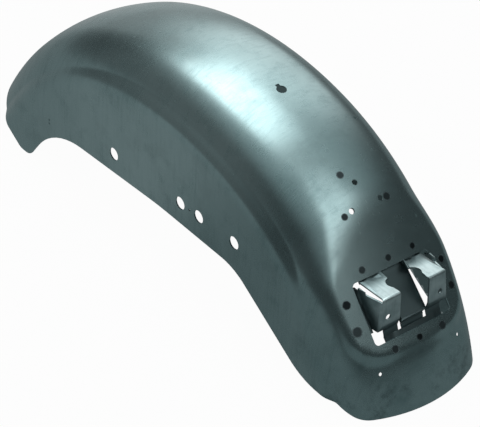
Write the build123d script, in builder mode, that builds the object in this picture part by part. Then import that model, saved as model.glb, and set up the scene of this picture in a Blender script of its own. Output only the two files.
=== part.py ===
from build123d import *
import os
from functools import cache
from math import atan2, cos, degrees, radians, sin, sqrt

# Rear fender of a motorcycle, pressed from one sheet of steel, with a lamp bracket inside its tail.
# X runs rearward, Y across, Z up. The fender rests on its two front toes and on its tail.
# Side coordinates (x, z) are taken from the wheel axle, before the small tilt of this rest.

# Sheet thicknesses
sheet = 1.6
bracket_sheet = 2.0
doubler_sheet = 2.0

# Crown seen from the side: an arc round the wheel, then a flatter arc down to the front
crown_radius = 348.7
flare_radius = 438.2
tail_angle = 4.0
joint_angle = 72.7
front_angle = 146.0
front_spare = 6.0
blend_angles = (36.0, 39.5, 43.0, 46.5, 50.0)

# Crown and skirts seen in section
crown_cross_radius = 175.0
shoulder_radius = 65.1
tail_shoulder_radius = 40.0
crown_half_width = 94.3
skirt_half_width = 100.0
skirt_roll_radius = 29.0
skirt_roll_depth = 37.9
skirt_reach = 250.0

# Lower edge of the skirts from the front toe to the tail, corners and their radii
toe_front = (-309.0, 104.9)
toe_rear = (-288.7, 104.9)
toe_rise = (-232.6, 173.5)
edge_middle = (-20.0, 175.5)
strut_end = (118.7, 167.5)
tail_run = (237.7, 86.0)
tail_corner = (291.0, 82.2)
tail_heel = (318.0, 70.2)
tail_end = (400.0, 66.0)
edge_radii = [20.0, 18.0, 125.0, 600.0, 80.0, 90.0, 20.0, 40.0]
trim_reach = 480.0
trim_half_width = 120.0

# Rest pose: the toe and the tail edge touch the ground
rest_tilt = 3.3
tail_rest = (338.0, 67.9)
middle_shift = 30.6

# Strut holes and the small holes beside them, in each skirt
strut_hole_diameter = 16.0
strut_hole_z = 201.0
front_pair_x = (-105.7, 21.8)
rear_pair_x = (55.8, 119.3)
pilot_hole_diameter = 3.2
pilot_hole_x = 38.8
clip_hole_diameter = 2.4
clip_holes = [(-240.2, 180.6), (-240.6, 175.6)]

# Flat pad for the tail lamp: its normal leans this far above the horizontal
pad_normal_angle = 37.0
pad_apex = 338.8
pad_cross_radius = 370.0
pad_top = -35.0
pad_bottom = 80.0
pad_half_width = 76.0
pad_corner_radius = 32.0
pad_wall_taper = 18.0
pad_edge_radius = 7.0
pad_block_depth = 30.0
pad_cut_reach = 100.0
pad_cut_height = 30.0

# Lamp opening in the pad
opening_centre = 29.2
opening_length = 72.0
opening_width = 108.0
opening_corner_radius = 5.0
tail_hole_diameter = 4.0
tail_hole_y = 56.0
tail_hole_slope = 95.0

# Lamp bracket behind the pad: flange, two ears, cross piece and tongue
flange_half_width = 71.0
flange_margin = 13.0
flange_corner_radius = 24.0
window_top = -3.0
window_bottom = 59.0
ear_top_z = 206.0
ear_face_x = 305.2
ear_fold_z = 172.0
web_waist = (301.8, 161.5)
web_top_z = 163.5
tongue_root = 2.0
web_foot = (306.0, 146.5)
web_half_width = 40.0
ear_outer_y = 52.0
ear_side_top_y = 45.0
ear_side_foot_y = 51.5
ear_side_back_x = 272.0
ear_side_radius = 4.5
ear_inner_y = 20.5
ear_back_inner_y = 14.0
ear_curve_start_x = 277.0
ear_curve_end_x = 293.0
ear_bend_radius = 3.5
ear_root_x = 258.0
ear_hole_diameter = 7.0
ear_hole_y = 37.4
ear_hole_z = 181.4
slot_inner_y = 43.5
slot_end_x = 301.0
relief_top_z = 164.5
relief_reach_y = 57.0
relief_end_x = 271.0
upper_relief = (-9.0, -1.0)
lower_relief = (50.0, 68.0)
slit_bottom_z = 156.0
tongue_half_width = 15.5
tongue_top = (273.0, 199.0)
tongue_corner_radius = 8.0

# Three screw holes above the pad, with a doubler inside
pair_angle = 50.1
pair_half_spacing = 20.3
centre_hole_angle = 54.5
cluster_hole_diameter = 7.0
doubler_angle = 51.8
doubler_length = 52.0
doubler_width = 76.0
doubler_corner_radius = 8.0

# Keyhole near the top of the crown, its narrow end toward the front
keyhole_angle = 77.2
keyhole_diameter = 12.0
keyhole_slot_width = 5.0
keyhole_slot_reach = 9.0

# Small holes in the right hand shoulder only
right_hole_diameter = 4.0
right_hole_y = 56.5
right_hole_angles = (66.3, 44.5)

# Frame of the side view
tilt = radians(rest_tilt)
axle = Vector(middle_shift, 0, -(tail_rest[0] * sin(tilt) + tail_rest[1] * cos(tilt)))
side = Plane(origin=axle, x_dir=(cos(tilt), 0, sin(tilt)), z_dir=(0, -1, 0))
joint = radians(joint_angle)
flare_centre = ((crown_radius - flare_radius) * cos(joint), (crown_radius - flare_radius) * sin(joint))


def on_side(x, z, y=0.0):
    """World point of the side coordinates x and z at y across."""
    return side.from_local_coords((x, z, -y))


def crown_plane(angle):
    """Plane across the crown: x runs across, y outward, the origin is on the centre line."""
    a = radians(angle)
    origin = on_side(crown_radius * cos(a), crown_radius * sin(a))
    return Plane(origin=origin, x_dir=(0, 1, 0), z_dir=(sin(a + tilt), 0, -cos(a + tilt)))


def radial_plane(angle, radius, slope=0.0):
    """Plane that faces outward at an angle round the axle: x runs across, y up the slope."""
    a = radians(angle)
    x = radius * cos(a) + slope * sin(a)
    z = radius * sin(a) - slope * cos(a)
    return Plane(origin=on_side(x, z), x_dir=(0, 1, 0), z_dir=(cos(a + tilt), 0, sin(a + tilt)))


def section(plane, inset, full_shoulder=shoulder_radius):
    """Section of the form that the sheet follows, drawn inward by the inset."""
    shoulder_y = crown_half_width - full_shoulder
    shoulder_z = sqrt((crown_cross_radius - full_shoulder) ** 2 - shoulder_y**2) - crown_cross_radius
    lean = degrees(atan2(shoulder_y, shoulder_z + crown_cross_radius))
    shoulder = full_shoulder - inset
    wall = crown_half_width - inset
    skirt = skirt_half_width - inset
    with BuildSketch(plane) as sketch:
        with BuildLine():
            CenterArc((0, -crown_cross_radius), crown_cross_radius - inset, 90 - lean, 2 * lean)
            CenterArc((shoulder_y, shoulder_z), shoulder, 0, 90 - lean)
            CenterArc((-shoulder_y, shoulder_z), shoulder, 90 + lean, 90 - lean)
            Polyline((wall, shoulder_z), (wall, -skirt_reach), (-wall, -skirt_reach), (-wall, shoulder_z))
        make_face()
        with Locations((0, -skirt_roll_depth - inset)):
            RectangleRounded(
                2 * skirt, skirt_reach, skirt_roll_radius - inset, align=(Align.CENTER, Align.MAX)
            )
    return sketch.sketch


def pad_block(inset):
    """The raised pad: a tapered block with round corners under the shallow pad surface."""
    middle = (pad_top + pad_bottom) / 2
    length = pad_bottom - pad_top
    with BuildPart() as block:
        top = radial_plane(pad_normal_angle, pad_apex, slope=middle)
        inward = Plane(origin=top.origin, x_dir=top.x_dir, z_dir=-top.z_dir)
        with BuildSketch(inward):
            RectangleRounded(
                2 * (pad_half_width - inset), length - 2 * inset, pad_corner_radius - inset
            )
        extrude(amount=pad_block_depth, taper=-pad_wall_taper)
        add(pad_cap(inset), mode=Mode.SUBTRACT)
        rim = faces().sort_by(Axis(top.origin, top.z_dir))[-1].edges()
        fillet(rim, radius=pad_edge_radius - inset)
    return block.part


def pad_cap(inset):
    """All that lies above the shallow pad surface."""
    a = radians(pad_normal_angle)
    slope = Vector(sin(a + tilt), 0, -cos(a + tilt))
    origin = on_side(pad_apex * cos(a), pad_apex * sin(a))
    with BuildPart() as cap:
        with BuildSketch(Plane(origin=origin, x_dir=(0, 1, 0), z_dir=slope)):
            with Locations((0, pad_cut_height / 2 - inset)):
                Rectangle(2 * pad_cut_reach, pad_cut_height * 2)
            with Locations((0, -pad_cross_radius)):
                Circle(pad_cross_radius - inset, mode=Mode.SUBTRACT)
        extrude(amount=pad_cut_reach, both=True)
    return cap.part


def blended_shoulder(angle):
    """Shoulder radius between the tail's and the crown's, smooth at both ends."""
    share = (angle - blend_angles[0]) / (blend_angles[-1] - blend_angles[0])
    smooth = share * share * (3 - 2 * share)
    return tail_shoulder_radius + (shoulder_radius - tail_shoulder_radius) * smooth


@cache
def form(inset):
    """Solid form under the sheet: the crown's arcs with their skirts, and the pad."""
    axis_way = (0, -1, 0)
    flare_axle = on_side(*flare_centre)
    with BuildPart() as body:
        add(section(crown_plane(tail_angle), inset, tail_shoulder_radius))
        revolve(axis=Axis(axle, axis_way), revolution_arc=blend_angles[0] - tail_angle)
        loft(
            sections=[
                section(crown_plane(angle), inset, blended_shoulder(angle)) for angle in blend_angles
            ]
        )
        add(section(crown_plane(blend_angles[-1]), inset))
        revolve(axis=Axis(axle, axis_way), revolution_arc=joint_angle - blend_angles[-1])
        add(section(crown_plane(joint_angle), inset))
        revolve(
            axis=Axis(flare_axle, axis_way), revolution_arc=front_angle + front_spare - joint_angle
        )
        add(pad_cap(inset), mode=Mode.SUBTRACT)
        add(pad_block(inset))
    return body.part


def side_trim():
    """Everything above the lower edge, between the front cut and the tail."""
    a = radians(front_angle)
    front = (
        flare_centre[0] + trim_reach * cos(a),
        flare_centre[1] + trim_reach * sin(a),
    )
    with BuildPart() as trim:
        with BuildSketch(side):
            with BuildLine():
                FilletPolyline(
                    front, toe_front, toe_rear, toe_rise, edge_middle, strut_end,
                    tail_run, tail_corner, tail_heel, tail_end,
                    radius=edge_radii,
                )
                Polyline(tail_end, (trim_reach, trim_reach), (-trim_reach, trim_reach), front)
            make_face()
        extrude(amount=trim_half_width, both=True)
    return trim.part


def layer(outside, thickness):
    """A second sheet against the inner face of the first, from one inset to the next."""
    with BuildPart() as sheet_layer:
        add(form(outside))
        add(form(outside + thickness), mode=Mode.SUBTRACT)
    return sheet_layer.part


# Fender shell
with BuildPart() as fender_shell:
    add(layer(0.0, sheet))
    add(side_trim(), mode=Mode.INTERSECT)
    # Lamp opening
    with BuildSketch(radial_plane(pad_normal_angle, pad_apex, slope=opening_centre)):
        RectangleRounded(opening_width, opening_length, opening_corner_radius)
    extrude(amount=pad_cut_height, both=True, mode=Mode.SUBTRACT)
    # Strut, pilot and clip holes through both skirts
    with BuildSketch(side):
        with Locations(*[(x, strut_hole_z) for x in front_pair_x + rear_pair_x]):
            Circle(strut_hole_diameter / 2)
        with Locations((pilot_hole_x, strut_hole_z)):
            Circle(pilot_hole_diameter / 2)
        with Locations(*clip_holes):
            Circle(clip_hole_diameter / 2)
    extrude(amount=trim_half_width, both=True, mode=Mode.SUBTRACT)
    # Screw holes and the keyhole in the crown
    with BuildSketch(radial_plane(pair_angle, crown_radius)):
        with Locations((-pair_half_spacing, 0), (pair_half_spacing, 0)):
            Circle(cluster_hole_diameter / 2)
    extrude(amount=pad_cut_height, both=True, mode=Mode.SUBTRACT)
    with BuildSketch(radial_plane(centre_hole_angle, crown_radius)):
        Circle(cluster_hole_diameter / 2)
    extrude(amount=pad_cut_height, both=True, mode=Mode.SUBTRACT)
    with BuildSketch(radial_plane(keyhole_angle, crown_radius)):
        Circle(keyhole_diameter / 2)
        with Locations((0, keyhole_slot_reach / 2)):
            Rectangle(keyhole_slot_width, keyhole_slot_reach)
    extrude(amount=pad_cut_height, both=True, mode=Mode.SUBTRACT)
    # Small holes by the tail and in the right hand shoulder
    with BuildSketch(radial_plane(pad_normal_angle, pad_apex, slope=tail_hole_slope)):
        with Locations((-tail_hole_y, 0), (tail_hole_y, 0)):
            Circle(tail_hole_diameter / 2)
    extrude(amount=pad_cut_height, both=True, mode=Mode.SUBTRACT)
    for angle in right_hole_angles:
        with BuildSketch(radial_plane(angle, crown_radius)):
            with Locations((right_hole_y, 0)):
                Circle(right_hole_diameter / 2)
        extrude(amount=pad_cut_height, both=True, mode=Mode.SUBTRACT)
fender_shell.part.label = "fender_shell"

# Doubler inside the crown, under the three screw holes
with BuildPart() as screw_hole_doubler:
    with BuildSketch(radial_plane(doubler_angle, crown_radius)):
        RectangleRounded(doubler_width, doubler_length, doubler_corner_radius)
    extrude(amount=pad_cut_height, both=True)
    add(layer(sheet, doubler_sheet), mode=Mode.INTERSECT)
    with BuildSketch(radial_plane(pair_angle, crown_radius)):
        with Locations((-pair_half_spacing, 0), (pair_half_spacing, 0)):
            Circle(cluster_hole_diameter / 2)
    extrude(amount=pad_cut_height, both=True, mode=Mode.SUBTRACT)
    with BuildSketch(radial_plane(centre_hole_angle, crown_radius)):
        Circle(cluster_hole_diameter / 2)
    extrude(amount=pad_cut_height, both=True, mode=Mode.SUBTRACT)
screw_hole_doubler.part.label = "screw_hole_doubler"


def ear_plan(inset):
    """Block that bounds the ears' sides: wider toward its foot, with a bend at each front corner."""
    half = ear_outer_y - inset
    face = ear_face_x - inset
    with BuildPart() as block:
        for z, front_y in ((web_foot[1], ear_side_foot_y), (ear_top_z, ear_side_top_y)):
            with BuildSketch(level_plane(z)):
                front = front_y - inset
                Polygon(
                    (ear_root_x, -half), (ear_side_back_x, -half), (face, -front),
                    (face, front), (ear_side_back_x, half), (ear_root_x, half),
                    align=None,
                )
                fillet(vertices().sort_by(Axis.X)[-2:], radius=ear_side_radius - inset)
        loft()
    return block.part


def bracket_walls(inset):
    """Outline of the box that the ears are folded from: top, face and cross piece."""
    half = ear_outer_y - inset
    face = ear_face_x - inset
    with BuildPart() as walls:
        with BuildSketch(side):
            with BuildLine():
                FilletPolyline(
                    (ear_root_x, ear_top_z - inset), (face, ear_top_z - inset),
                    (face, ear_fold_z), (web_waist[0] - inset, web_waist[1]),
                    (web_foot[0] - inset, web_foot[1]),
                    radius=[ear_bend_radius - inset, ear_bend_radius, ear_bend_radius],
                )
                Polyline(
                    (web_foot[0] - inset, web_foot[1]), (ear_root_x, web_foot[1]),
                    (ear_root_x, ear_top_z - inset),
                )
            make_face()
        extrude(amount=half, both=True)
        add(ear_plan(inset), mode=Mode.INTERSECT)
    return walls.part


def level_plane(z):
    """Level plane of the bracket: x runs rearward, y across to the left."""
    return Plane(origin=on_side(0, z), x_dir=side.x_dir, z_dir=side.y_dir)


def face_plane():
    """Plane of the ears' faces: x runs across, y up."""
    return Plane(origin=on_side(ear_face_x, 0), x_dir=(0, 1, 0), z_dir=side.x_dir)


def bracket_flange():
    """Flange against the pad, with its window and the reliefs at the window's corners."""
    with BuildPart() as flange:
        with BuildSketch(radial_plane(pad_normal_angle, pad_apex)):
            with Locations((0, -opening_centre)):
                RectangleRounded(
                    2 * flange_half_width, opening_length + 2 * flange_margin, flange_corner_radius
                )
            with Locations((0, -(window_top + window_bottom) / 2)):
                Rectangle(
                    2 * (ear_outer_y - bracket_sheet), window_bottom - window_top, mode=Mode.SUBTRACT
                )
            for way in (-1, 1):
                for inner_y, (start, end) in (
                    (slot_inner_y, upper_relief), (web_half_width, lower_relief)
                ):
                    width = opening_width / 2 - inner_y
                    with Locations((way * (inner_y + width / 2), -(start + end) / 2)):
                        Rectangle(width, end - start, mode=Mode.SUBTRACT)
        extrude(amount=pad_cut_height, both=True)
        add(layer(sheet, bracket_sheet), mode=Mode.INTERSECT)
    return flange.part


# Tail lamp bracket: a stamped plate against the inner face of the pad
with BuildPart() as tail_lamp_bracket:
    add(bracket_walls(0.0))
    add(bracket_walls(bracket_sheet), mode=Mode.SUBTRACT)
    # Gap between the ears, wider toward their faces
    with BuildSketch(level_plane(web_top_z)):
        with BuildLine():
            Line((ear_root_x, ear_back_inner_y), (ear_curve_start_x, ear_back_inner_y))
            TangentArc(
                (ear_curve_start_x, ear_back_inner_y), (ear_curve_end_x, ear_inner_y), tangent=(0, 1)
            )
            Polyline(
                (ear_curve_end_x, ear_inner_y), (ear_face_x + bracket_sheet, ear_inner_y),
                (ear_face_x + bracket_sheet, 0), (ear_root_x, 0), (ear_root_x, ear_back_inner_y),
            )
        make_face()
        mirror(about=Plane.XZ)
    extrude(amount=ear_top_z, mode=Mode.SUBTRACT)
    # Slots between the tops and the side walls, open to the corners of the lamp opening
    slot_width = ear_outer_y - bracket_sheet - slot_inner_y
    slot_length = slot_end_x - ear_root_x
    relief_length = relief_end_x - ear_root_x
    relief_width = relief_reach_y - slot_inner_y
    with BuildSketch(level_plane(ear_top_z - 2 * bracket_sheet)):
        for way in (-1, 1):
            with Locations((ear_root_x + slot_length / 2, way * (slot_inner_y + slot_width / 2))):
                Rectangle(slot_length, slot_width)
            with Locations((slot_end_x, way * (slot_inner_y + slot_width / 2))):
                Circle(slot_width / 2)
            with Locations((ear_root_x + relief_length / 2, way * (slot_inner_y + relief_width / 2))):
                Rectangle(relief_length, relief_width)
    extrude(amount=4 * bracket_sheet, mode=Mode.SUBTRACT)
    # Slits beside the tongue, corner reliefs and the lamp's screw holes
    with BuildSketch(face_plane()):
        slit_width = ear_inner_y - tongue_half_width
        foot_width = relief_reach_y - web_half_width
        for way in (-1, 1):
            with Locations((way * (tongue_half_width + slit_width / 2), slit_bottom_z)):
                Rectangle(slit_width, web_top_z - slit_bottom_z, align=(Align.CENTER, Align.MIN))
                Circle(slit_width / 2)
            with Locations((way * (web_half_width + foot_width / 2), relief_top_z)):
                Rectangle(foot_width, ear_fold_z, align=(Align.CENTER, Align.MAX))
            with Locations((way * ear_hole_y, ear_hole_z)):
                Circle(ear_hole_diameter / 2)
    extrude(amount=ear_outer_y, both=True, mode=Mode.SUBTRACT)
    # Tongue, leaning forward from the top of the cross piece
    tongue_foot = on_side(*web_waist)
    up_tongue = on_side(*tongue_top) - tongue_foot
    tongue_plane = Plane(
        origin=tongue_foot, x_dir=(0, 1, 0), z_dir=Vector(0, 1, 0).cross(up_tongue)
    )
    with BuildSketch(tongue_plane):
        with Locations((0, -tongue_root)):
            Rectangle(
                2 * tongue_half_width, up_tongue.length + tongue_root, align=(Align.CENTER, Align.MIN)
            )
        fillet(vertices().sort_by(Axis.Y)[-2:], radius=tongue_corner_radius)
    extrude(amount=-bracket_sheet)
    # Nothing of the ears reaches behind the flange
    add(form(sheet + bracket_sheet), mode=Mode.SUBTRACT)
    add(bracket_flange())
tail_lamp_bracket.part.label = "tail_lamp_bracket"

os.makedirs("parts", exist_ok=True)
export_step(fender_shell.part, "parts/fender_shell.step")
export_step(tail_lamp_bracket.part, "parts/tail_lamp_bracket.step")
export_step(screw_hole_doubler.part, "parts/screw_hole_doubler.step")
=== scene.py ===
"""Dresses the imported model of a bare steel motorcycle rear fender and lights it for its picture.

Lengths are in metres in the model's own frame: X rearward, Y to the right hand side, Z up.
"""

from __future__ import annotations

import logging
import math
from collections.abc import Callable
from dataclasses import dataclass, field
from enum import Enum

import bmesh
import bpy
from bpy.types import ID, Material, Mesh, Node, NodeSocket, NodeTree, Object
from mathutils import Matrix, Vector
from mathutils.bvhtree import BVHTree


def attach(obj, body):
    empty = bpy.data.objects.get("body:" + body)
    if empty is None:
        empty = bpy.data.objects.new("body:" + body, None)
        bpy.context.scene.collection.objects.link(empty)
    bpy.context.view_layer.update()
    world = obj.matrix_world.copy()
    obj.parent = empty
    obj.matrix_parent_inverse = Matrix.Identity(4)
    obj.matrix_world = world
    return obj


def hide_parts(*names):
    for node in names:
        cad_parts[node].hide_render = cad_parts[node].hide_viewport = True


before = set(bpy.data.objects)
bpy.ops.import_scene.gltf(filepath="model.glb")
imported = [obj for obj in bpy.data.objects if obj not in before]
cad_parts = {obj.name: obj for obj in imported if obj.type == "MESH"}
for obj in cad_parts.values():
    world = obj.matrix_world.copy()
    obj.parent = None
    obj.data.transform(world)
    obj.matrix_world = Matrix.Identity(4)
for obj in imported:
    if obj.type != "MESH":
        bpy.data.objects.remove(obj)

log = logging.getLogger("fender")

MM = 0.001
AXLE = Vector((0.0306, 0.0, -0.08720))
REST_TILT = math.radians(3.3)
REARWARD, ACROSS, UPWARD = Vector((1, 0, 0)), Vector((0, 1, 0)), Vector((0, 0, 1))
WHITE = (1.0, 1.0, 1.0, 1.0)


class Slot(Enum):
    """The record's material slots."""

    PRESSED = "pressed_steel"
    BRACKET = "bracket_steel"


# Shader maths


def operator(operation: str, flip: bool = False) -> Callable:
    """Makes a method of Signal that adds one Math node.

    Args:
        operation: The node's operation.
        flip: Puts the signal second.

    Returns:
        The method.
    """

    def method(self: Signal, other: Signal | float) -> Signal:
        """The node's result."""
        operands = (other, self) if flip else (self, other)
        node = self.net.node("ShaderNodeMath", {"operation": operation}, dict(enumerate(operands)))
        return Signal(self.net, node.outputs[0])

    return method


class Signal:
    """A number socket that shader maths can use like a Python number."""

    __add__ = __radd__ = operator("ADD")
    __sub__, __rsub__ = operator("SUBTRACT"), operator("SUBTRACT", flip=True)
    __mul__ = __rmul__ = operator("MULTIPLY")
    __truediv__, __rtruediv__ = operator("DIVIDE"), operator("DIVIDE", flip=True)
    __pow__ = operator("POWER")
    # Angle of the point (other, self), and the larger and the smaller of the two
    arctan2, larger, smaller = operator("ARCTAN2"), operator("MAXIMUM"), operator("MINIMUM")

    def __init__(self, net: Net, socket: NodeSocket) -> None:
        """Keeps the socket and the net that it belongs to."""
        self.net = net
        self.socket = socket

    def step(self, low: float, high: float, start: float = 0.0, end: float = 1.0) -> Signal:
        """Smooth step from start to end.

        Args:
            low: Where it leaves start.
            high: Where it reaches end.
            start: Value below low.
            end: Value above high.

        Returns:
            The stepped signal.
        """
        settings = {"interpolation_type": "SMOOTHSTEP"}
        values = {0: self, 1: low, 2: high, 3: start, 4: end}
        node = self.net.node("ShaderNodeMapRange", settings, values)
        return Signal(self.net, node.outputs[0])

    def marked(self, low: float, high: float, share: float) -> Signal:
        """Smooth step from 0 below low to share above high."""
        return self.step(low, high) * share


class Net:
    """The node tree of one material or world."""

    def __init__(self, tree: NodeTree) -> None:
        """Empties the tree."""
        self.tree = tree
        tree.nodes.clear()

    def node(
        self, kind: str, settings: dict | None = None, values: dict | None = None
    ) -> Node:
        """Adds one node.

        Args:
            kind: The node's type.
            settings: Its properties, set first.
            values: Its sockets by name or number, each with a value, a signal or a socket.

        Returns:
            The node.
        """
        made = self.tree.nodes.new(kind)
        for name, value in (settings or {}).items():
            setattr(made, name, value)
        for name, value in (values or {}).items():
            self.put(made.inputs[name], value)
        return made

    def put(self, socket: NodeSocket, value: object) -> None:
        """Links or sets one input socket."""
        if isinstance(value, Signal):
            self.tree.links.new(value.socket, socket)
        elif isinstance(value, NodeSocket):
            self.tree.links.new(value, socket)
        else:
            socket.default_value = value

    def vector(self, operation: str, *values: object) -> NodeSocket:
        """Adds one Vector Math node and returns its vector."""
        made = self.node("ShaderNodeVectorMath", {"operation": operation}, dict(enumerate(values)))
        return made.outputs[0]

    def length(self, vector: NodeSocket) -> Signal:
        """Length of a vector."""
        made = self.node("ShaderNodeVectorMath", {"operation": "LENGTH"}, {0: vector})
        return Signal(self, made.outputs["Value"])

    def blend(self, factor: Signal | float, first: object, second: object) -> NodeSocket:
        """Mixes two colours.

        Args:
            factor: Share of the second colour.
            first: Colour at 0.
            second: Colour at 1.

        Returns:
            The mixed colour's socket.
        """
        made = self.node("ShaderNodeMix", {"data_type": "RGBA"}, {0: factor, 6: first, 7: second})
        return made.outputs[2]

    def scaled(self, colour: object, strength: Signal) -> NodeSocket:
        """A colour multiplied by a signal."""
        made = self.node("ShaderNodeVectorMath", {"operation": "SCALE"}, {0: colour, 3: strength})
        return made.outputs[0]

    def split(self, vector: NodeSocket) -> tuple[Signal, Signal, Signal]:
        """The three numbers of a vector."""
        made = self.node("ShaderNodeSeparateXYZ", None, {0: vector})
        return tuple(Signal(self, out) for out in made.outputs)

    def join(self, x: Signal | float, y: Signal | float, z: Signal | float) -> NodeSocket:
        """A vector from three numbers."""
        return self.node("ShaderNodeCombineXYZ", None, {0: x, 1: y, 2: z}).outputs[0]

    def stretched(self, numbers: tuple, scales: tuple) -> NodeSocket:
        """A vector from three numbers, each with its own scale."""
        return self.join(*(number * scale for number, scale in zip(numbers, scales)))

    def place(self) -> NodeSocket:
        """Object coordinates."""
        return self.node("ShaderNodeTexCoord").outputs["Object"]

    def attribute(self, name: str) -> Signal:
        """A number kept on the mesh."""
        made = self.node("ShaderNodeAttribute", {"attribute_name": name})
        return Signal(self, made.outputs["Fac"])

    def bump(self, strength: float, depth: float, height: Signal) -> NodeSocket:
        """The normal of a surface with small heights on it."""
        values = {"Strength": strength, "Distance": depth, "Height": height}
        return self.node("ShaderNodeBump", None, values).outputs[0]

    def output(self, kind: str, values: dict) -> None:
        """Ends a material in one shader node with these values."""
        shader = self.node(kind, None, values)
        self.node("ShaderNodeOutputMaterial", None, {0: shader.outputs[0]})

    def noise(
        self, vector: NodeSocket, scale: float, detail: float, rough: float
    ) -> Signal:
        """Noise between 0 and 1.

        Args:
            vector: Where it is read.
            scale: Cells per unit.
            detail: Octaves.
            rough: Strength of the finer octaves.

        Returns:
            The noise.
        """
        values = {"Vector": vector, "Scale": scale, "Detail": detail, "Roughness": rough}
        made = self.node("ShaderNodeTexNoise", {"noise_dimensions": "3D"}, values)
        return Signal(self, made.outputs[0])

    def cells(self, vector: NodeSocket, scale: float) -> Signal:
        """Distance from the nearest of many scattered points."""
        made = self.node("ShaderNodeTexVoronoi", {"feature": "F1"}, {"Vector": vector, "Scale": scale})
        return Signal(self, made.outputs["Distance"])


def new_material(name: str) -> tuple[Material, Net]:
    """Makes an empty node material.

    Args:
        name: The material's name.

    Returns:
        The material and its net.
    """
    material = bpy.data.materials.new(name)
    material.use_nodes = True
    return material, Net(material.node_tree)


# Finishes


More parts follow.
